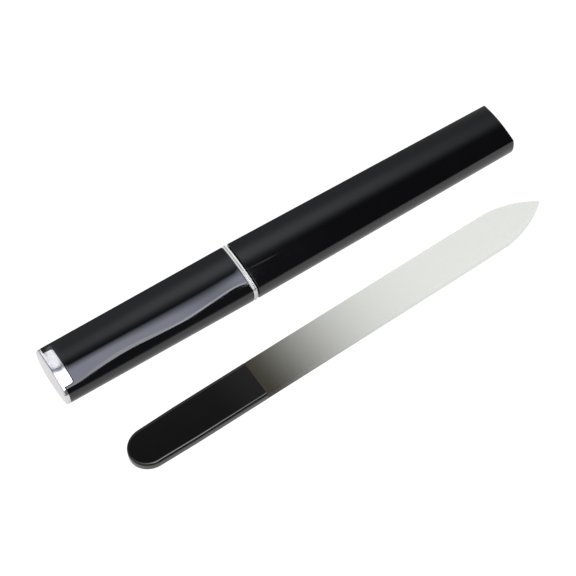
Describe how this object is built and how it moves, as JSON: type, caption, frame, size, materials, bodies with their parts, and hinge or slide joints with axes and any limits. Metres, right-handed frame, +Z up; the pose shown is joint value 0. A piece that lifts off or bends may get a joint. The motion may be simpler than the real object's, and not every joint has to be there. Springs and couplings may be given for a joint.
{
  "type": "glass nail file with hard case",
  "caption": "Glass nail file with a dark glossy handle end and a pointed frosted tip, lying beside its slim hard case, whose two halves pull apart at a bright ring.",
  "frame": {"origin": "middle of the whole set in X and Y, on the surface that the case and the file rest on", "axes": "+X along the case, from the bright end plug towards the closed far end; +Z up; the file lies on the -Y side of the case"},
  "size_m": [0.151, 0.0458, 0.0084],
  "materials": {
    "black_shell": "black moulded plastic, polished",
    "bright_plating": "bright chrome plating on plastic",
    "inner_plastic": "dark moulded plastic, satin",
    "foam": "closed-cell foam, matte",
    "etched_glass": "tempered glass, acid etched and frosted, with a glossy black coat on the handle end that fades along the frosted part"
  },
  "bodies": {
    "barrel": {"long_shell": "black_shell", "tip_pad": "foam"},
    "cap": {"short_shell": "black_shell", "joint_ring": "bright_plating", "neck_sleeve": "inner_plastic", "end_plug": "bright_plating", "handle_pad": "foam"},
    "file": {"glass_file": "etched_glass"}
  },
  "joints": [
    {"name": "cap_pull", "type": "slide", "parent": "barrel", "child": "cap", "axis": [-1, 0, 0], "range_m": [0, 0.07]},
    {"name": "file_lift", "type": "slide", "parent": "barrel", "child": "file", "axis": [0, 0, 1], "range_m": [0, 0.05]}
  ]
}
